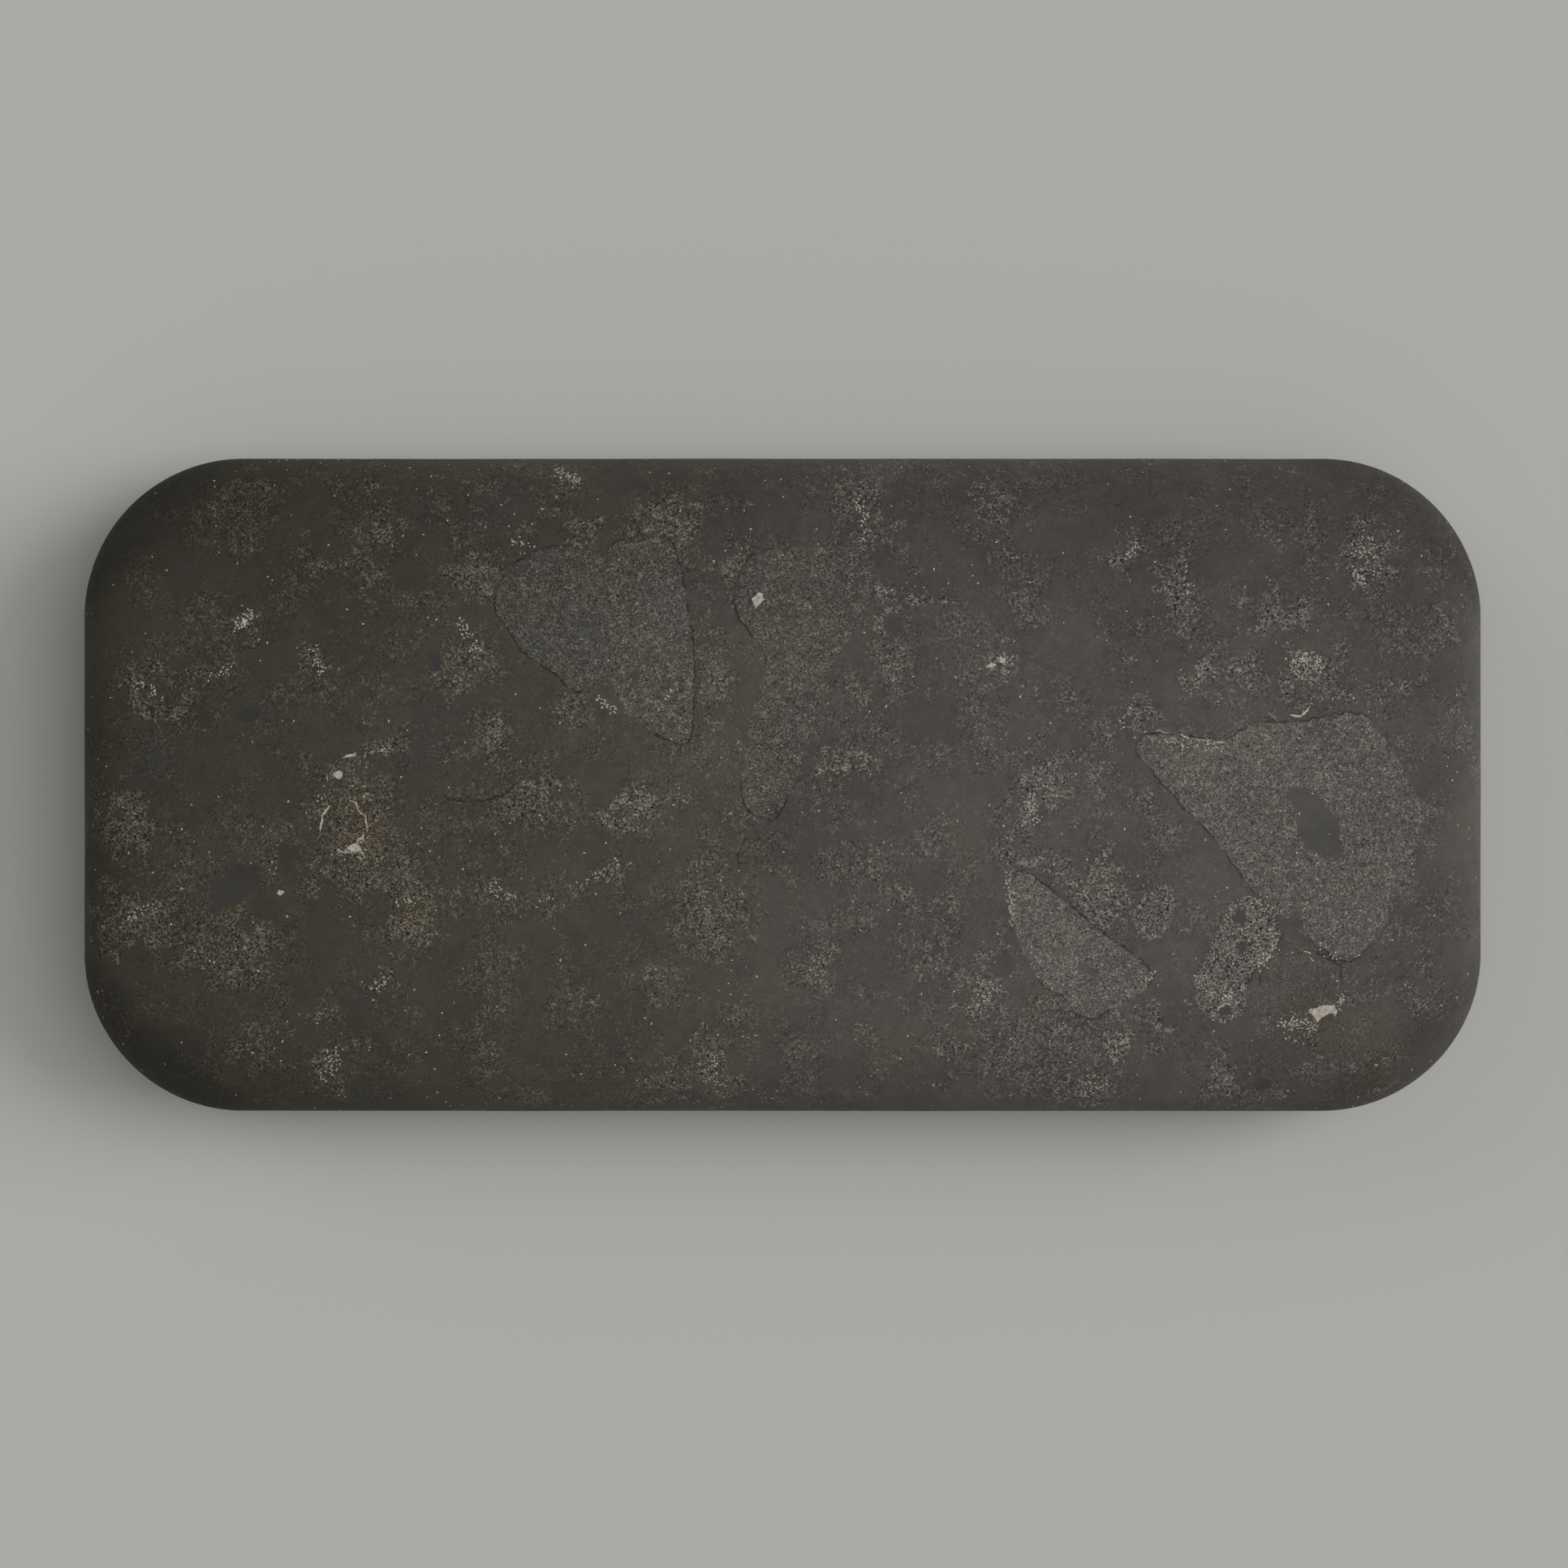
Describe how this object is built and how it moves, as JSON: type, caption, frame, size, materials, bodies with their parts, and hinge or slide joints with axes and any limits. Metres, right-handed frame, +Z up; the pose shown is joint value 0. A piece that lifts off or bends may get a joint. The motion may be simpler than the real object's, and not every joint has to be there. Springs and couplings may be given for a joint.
{
  "type": "massage stone",
  "caption": "Flat basalt massage stone: a rounded bar with rolled edges, a slightly crowned top and a flat underside that it lies on.",
  "frame": {"origin": "middle of the flat land underneath, which is the bottom centre of the stone's box", "axes": "+X along the length, +Y across the width, +Z up through the thickness, away from the land it lies on"},
  "size_m": [0.15, 0.0702, 0.023],
  "materials": {
    "basalt": "honed"
  },
  "bodies": {
    "root": {"basalt_stone": "basalt"}
  },
  "joints": []
}
